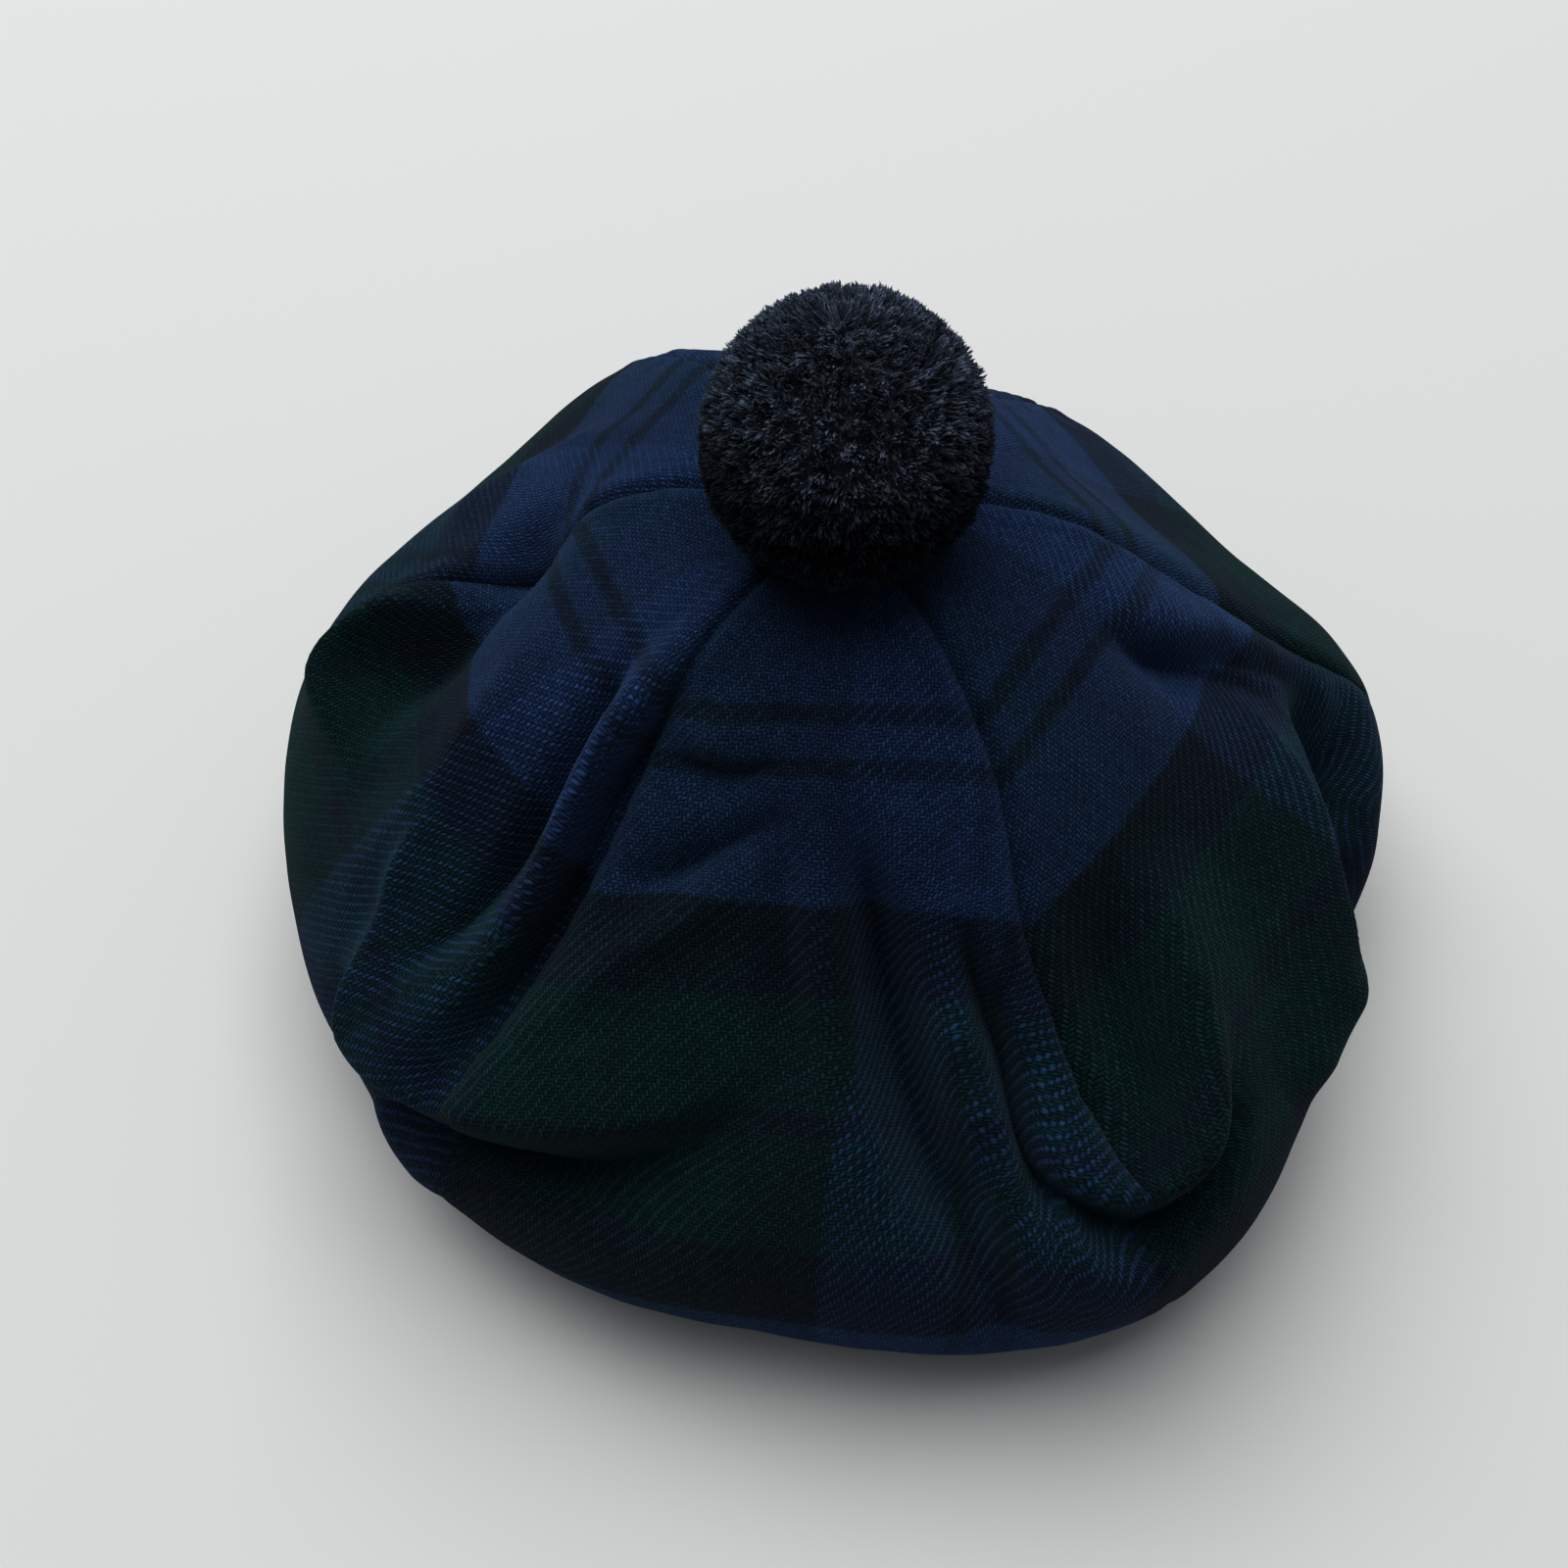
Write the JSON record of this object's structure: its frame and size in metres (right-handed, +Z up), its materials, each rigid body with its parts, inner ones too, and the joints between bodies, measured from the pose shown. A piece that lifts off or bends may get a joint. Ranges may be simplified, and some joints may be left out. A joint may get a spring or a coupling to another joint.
{
  "type": "tam o' shanter",
  "caption": "Soft round wool cap with a wide gathered crown cut in wedge gores, a plain headband and a yarn pompom on top.",
  "frame": {"origin": "on the surface that the hat rests on, under the middle of the crown's outline", "axes": "+Z up through the pompom, -Y toward the front that the picture shows, +X to the right of someone facing that front"},
  "size_m": [0.2807, 0.2657, 0.185],
  "materials": {
    "tartan_wool": "brushed wool twill in a dark blue, green and black tartan",
    "headband_wool": "plain dark wool",
    "pompom_yarn": "cut black wool yarn"
  },
  "bodies": {
    "root": {"gore_front": "tartan_wool", "gore_front_right": "tartan_wool", "gore_back_right": "tartan_wool", "gore_back": "tartan_wool", "gore_back_left": "tartan_wool", "gore_front_left": "tartan_wool", "headband": "headband_wool", "pompom": "pompom_yarn"}
  },
  "joints": []
}
